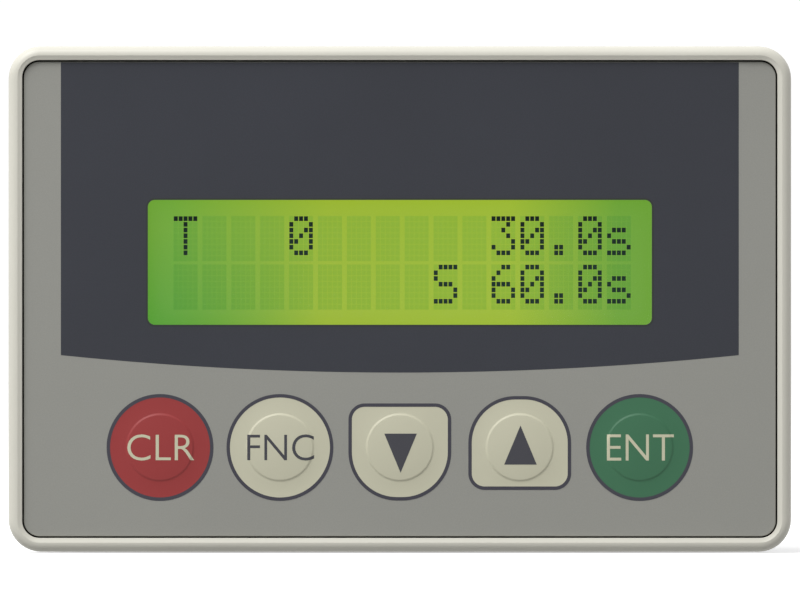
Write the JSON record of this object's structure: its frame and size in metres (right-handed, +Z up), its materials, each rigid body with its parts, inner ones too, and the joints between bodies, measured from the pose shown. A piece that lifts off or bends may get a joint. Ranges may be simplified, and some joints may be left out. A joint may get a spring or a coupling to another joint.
{
  "type": "enlarger timer",
  "caption": "Panel-mounting darkroom enlarger timer with a backlit character display, film keys, panel clamps and rear screw terminals.",
  "frame": {"origin": "centre of the panel cut-out, in the plane of the panel's front surface, which is the gasket's rear face", "axes": "+Z up, -Y out of the panel towards the user, +X to the user's right"},
  "size_m": [0.096, 0.0454, 0.062],
  "materials": {
    "bezel_plastic": "fine satin moulding, warm light grey",
    "printed_film": "fine matt film, grey with a charcoal zone",
    "clear_pane": "clear pane",
    "lcd_glass": "yellow-green lit display cell",
    "light_guide": "milky translucent plastic",
    "red_key": "printed film, dark red",
    "ivory_key": "printed film, ivory",
    "green_key": "printed film, dark green",
    "black_steel": "black coated sheet steel",
    "laminate": "green circuit board laminate",
    "black_plastic": "black moulding",
    "housing_plastic": "textured dark grey moulding",
    "brass": "turned brass",
    "zinc_steel": "zinc-plated steel",
    "relay_blue": "blue moulding",
    "capacitor_sleeve": "dark blue shrunk sleeve",
    "rubber": "black closed-cell gasket",
    "phenolic": "dark moulded terminal block"
  },
  "bodies": {
    "housing": {"bezel": "bezel_plastic", "overlay": "printed_film", "panel_gasket": "rubber", "display_window": "clear_pane", "lcd_frame": "black_steel", "lcd_glass": "lcd_glass", "lcd_backlight": "light_guide", "lcd_board": "laminate", "board_link": "black_plastic", "main_board": "laminate", "processor": "black_plastic", "power_module": "housing_plastic", "relay": "relay_blue", "capacitor": "capacitor_sleeve", "buzzer": "black_plastic", "trimmer_body": "relay_blue", "switch_body_clear": "black_steel", "switch_body_function": "black_steel", "switch_body_down": "black_steel", "switch_body_up": "black_steel", "switch_body_enter": "black_steel", "standoff_1": "brass", "standoff_2": "brass", "standoff_3": "brass", "standoff_4": "brass", "board_screw_1": "zinc_steel", "board_screw_2": "zinc_steel", "board_screw_3": "zinc_steel", "board_screw_4": "zinc_steel", "case": "housing_plastic", "case_screw_1": "zinc_steel", "case_screw_2": "zinc_steel", "case_screw_3": "zinc_steel", "case_screw_4": "zinc_steel", "clamp_bracket_top": "housing_plastic", "clamp_bracket_bottom": "housing_plastic", "terminal_block": "phenolic"},
    "key_clear": {"key_pad_clear": "red_key", "switch_button_clear": "black_plastic"},
    "key_function": {"key_pad_function": "ivory_key", "switch_button_function": "black_plastic"},
    "key_down": {"key_pad_down": "ivory_key", "switch_button_down": "black_plastic"},
    "key_up": {"key_pad_up": "ivory_key", "switch_button_up": "black_plastic"},
    "key_enter": {"key_pad_enter": "green_key", "switch_button_enter": "black_plastic"},
    "clamp_foot_top": {"clamp_foot_top": "black_plastic"},
    "clamp_foot_bottom": {"clamp_foot_bottom": "black_plastic"},
    "clamp_screw_top": {"clamp_screw_top": "zinc_steel"},
    "clamp_screw_bottom": {"clamp_screw_bottom": "zinc_steel"},
    "terminal_washer_1": {"terminal_washer_1": "zinc_steel"},
    "terminal_washer_2": {"terminal_washer_2": "zinc_steel"},
    "terminal_washer_3": {"terminal_washer_3": "zinc_steel"},
    "terminal_washer_4": {"terminal_washer_4": "zinc_steel"},
    "terminal_screw_1": {"terminal_screw_1": "zinc_steel"},
    "terminal_screw_2": {"terminal_screw_2": "zinc_steel"},
    "terminal_screw_3": {"terminal_screw_3": "zinc_steel"},
    "terminal_screw_4": {"terminal_screw_4": "zinc_steel"},
    "trimmer_rotor": {"trimmer_rotor": "light_guide"}
  },
  "joints": [
    {"name": "press_clear", "type": "slide", "parent": "housing", "child": "key_clear", "axis": [0, 1, 0], "range_m": [0, 0.0003], "stiffness_N_per_m": 2000},
    {"name": "press_function", "type": "slide", "parent": "housing", "child": "key_function", "axis": [0, 1, 0], "range_m": [0, 0.0003], "stiffness_N_per_m": 2000},
    {"name": "press_down", "type": "slide", "parent": "housing", "child": "key_down", "axis": [0, 1, 0], "range_m": [0, 0.0003], "stiffness_N_per_m": 2000},
    {"name": "press_up", "type": "slide", "parent": "housing", "child": "key_up", "axis": [0, 1, 0], "range_m": [0, 0.0003], "stiffness_N_per_m": 2000},
    {"name": "press_enter", "type": "slide", "parent": "housing", "child": "key_enter", "axis": [0, 1, 0], "range_m": [0, 0.0003], "stiffness_N_per_m": 2000},
    {"name": "foot_travel_top", "type": "slide", "parent": "housing", "child": "clamp_foot_top", "axis": [0, -1, 0], "range_m": [0, 0.0049]},
    {"name": "clamp_turn_top", "type": "hinge", "parent": "clamp_foot_top", "child": "clamp_screw_top", "pos_m": [0, 0.027, 0.0283], "axis": [0, -1, 0], "range_deg": [0, 2520]},
    {"name": "foot_travel_bottom", "type": "slide", "parent": "housing", "child": "clamp_foot_bottom", "axis": [0, -1, 0], "range_m": [0, 0.0049]},
    {"name": "clamp_turn_bottom", "type": "hinge", "parent": "clamp_foot_bottom", "child": "clamp_screw_bottom", "pos_m": [0, 0.027, -0.0283], "axis": [0, -1, 0], "range_deg": [0, 2520]},
    {"name": "washer_travel_1", "type": "slide", "parent": "housing", "child": "terminal_washer_1", "axis": [0, -1, 0], "range_m": [-0.003, 0]},
    {"name": "terminal_turn_1", "type": "hinge", "parent": "terminal_washer_1", "child": "terminal_screw_1", "pos_m": [-0.01425, 0.034, -0.0096], "axis": [0, -1, 0], "range_deg": [-1800, 0]},
    {"name": "washer_travel_2", "type": "slide", "parent": "housing", "child": "terminal_washer_2", "axis": [0, -1, 0], "range_m": [-0.003, 0]},
    {"name": "terminal_turn_2", "type": "hinge", "parent": "terminal_washer_2", "child": "terminal_screw_2", "pos_m": [-0.00475, 0.034, -0.0096], "axis": [0, -1, 0], "range_deg": [-1800, 0]},
    {"name": "washer_travel_3", "type": "slide", "parent": "housing", "child": "terminal_washer_3", "axis": [0, -1, 0], "range_m": [-0.003, 0]},
    {"name": "terminal_turn_3", "type": "hinge", "parent": "terminal_washer_3", "child": "terminal_screw_3", "pos_m": [0.00475, 0.034, -0.0096], "axis": [0, -1, 0], "range_deg": [-1800, 0]},
    {"name": "washer_travel_4", "type": "slide", "parent": "housing", "child": "terminal_washer_4", "axis": [0, -1, 0], "range_m": [-0.003, 0]},
    {"name": "terminal_turn_4", "type": "hinge", "parent": "terminal_washer_4", "child": "terminal_screw_4", "pos_m": [0.01425, 0.034, -0.0096], "axis": [0, -1, 0], "range_deg": [-1800, 0]},
    {"name": "contrast_turn", "type": "hinge", "parent": "housing", "child": "trimmer_rotor", "pos_m": [0.029, 0.017, -0.014], "axis": [0, 1, 0], "range_deg": [-135, 135]}
  ],
  "couplings": [
    {"joint": "clamp_turn_top", "follows": "foot_travel_top", "rad_per_m": 8976},
    {"joint": "clamp_turn_bottom", "follows": "foot_travel_bottom", "rad_per_m": 8976},
    {"joint": "terminal_turn_1", "follows": "washer_travel_1", "rad_per_m": 10472},
    {"joint": "terminal_turn_2", "follows": "washer_travel_2", "rad_per_m": 10472},
    {"joint": "terminal_turn_3", "follows": "washer_travel_3", "rad_per_m": 10472},
    {"joint": "terminal_turn_4", "follows": "washer_travel_4", "rad_per_m": 10472}
  ]
}
